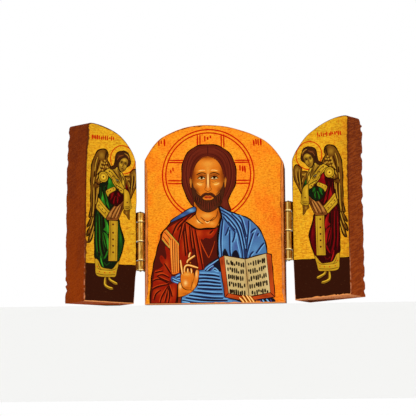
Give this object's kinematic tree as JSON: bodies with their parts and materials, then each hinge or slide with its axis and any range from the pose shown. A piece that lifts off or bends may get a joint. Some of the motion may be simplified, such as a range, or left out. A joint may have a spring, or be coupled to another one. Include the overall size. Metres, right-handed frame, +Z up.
{
  "type": "triptych",
  "caption": "Small folding wooden triptych: an arched centre board and half-arch wings on brass butt hinges, painted on the fronts, standing on its base.",
  "frame": {"origin": "middle of the centre board's underside", "axes": "+X to the viewer's right, +Y to the back, +Z up"},
  "size_m": [0.1617, 0.0426, 0.1003],
  "materials": {
    "centre_wood": "red-brown stain on the sides and back, gold ground and paint under varnish on the front",
    "left_wing_wood": "red-brown stain over saw marks, gold ground and paint under varnish on the front",
    "right_wing_wood": "red-brown stain over saw marks, gold ground and paint under varnish on the front",
    "hinge_brass": "worn, half polished",
    "pin_brass": "dull",
    "screw_brass": "dull"
  },
  "bodies": {
    "centre_board": {"centre_panel": "centre_wood", "left_hinge_centre_leaf": "hinge_brass", "left_hinge_pin": "pin_brass", "left_centre_lower_screw": "screw_brass", "left_centre_upper_screw": "screw_brass", "right_hinge_centre_leaf": "hinge_brass", "right_hinge_pin": "pin_brass", "right_centre_lower_screw": "screw_brass", "right_centre_upper_screw": "screw_brass"},
    "left_wing": {"left_wing_panel": "left_wing_wood", "left_hinge_wing_leaf": "hinge_brass", "left_wing_lower_screw": "screw_brass", "left_wing_upper_screw": "screw_brass"},
    "right_wing": {"right_wing_panel": "right_wing_wood", "right_hinge_wing_leaf": "hinge_brass", "right_wing_lower_screw": "screw_brass", "right_wing_upper_screw": "screw_brass"}
  },
  "joints": [
    {"name": "left_wing_hinge", "type": "hinge", "parent": "centre_board", "child": "left_wing", "pos_m": [-0.04015, -0.0115, 0.0341], "axis": [0, 0, 1], "range_deg": [-42, 143]},
    {"name": "right_wing_hinge", "type": "hinge", "parent": "centre_board", "child": "right_wing", "pos_m": [0.04015, -0.0115, 0.0387], "axis": [0, 0, -1], "range_deg": [-26.5, 158.5]}
  ]
}
